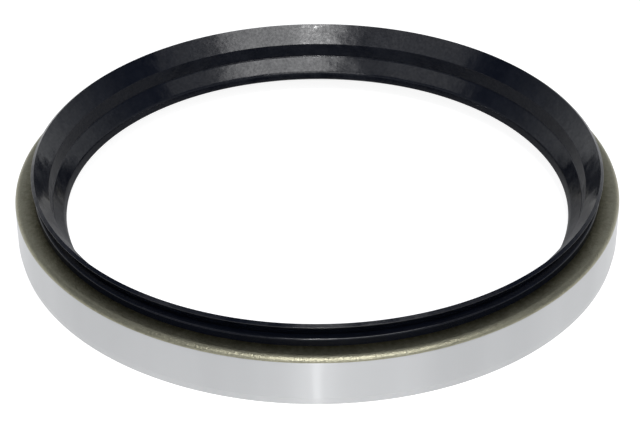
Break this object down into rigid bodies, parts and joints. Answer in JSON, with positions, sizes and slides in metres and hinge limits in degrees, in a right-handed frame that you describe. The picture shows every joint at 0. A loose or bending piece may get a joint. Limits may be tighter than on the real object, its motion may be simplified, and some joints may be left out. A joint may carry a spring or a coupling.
{
  "type": "radial shaft seal",
  "caption": "Radial shaft seal: a ground steel case pressed into a housing bore, with a bonded rubber lip held to the shaft by a garter spring and a flared side lip on the air side.",
  "frame": {"origin": "on the shaft axis, in the plane of the case's open end, which the seal lies on", "axes": "+Z along the shaft axis towards the air side, where the side lip is; the seal is round about Z, so X and Y are free"},
  "size_m": [0.16, 0.16, 0.02],
  "materials": {
    "case_steel": "ground bright on the outer wall; olive-grey phosphate coat on the rounded corner, the flange and the inside",
    "nitrile_rubber": "moulded black rubber, slightly glossy",
    "spring_steel": "drawn spring wire, close wound, lightly oiled"
  },
  "bodies": {
    "root": {"metal_case": "case_steel", "sealing_element": "nitrile_rubber", "garter_spring": "spring_steel"}
  },
  "joints": []
}
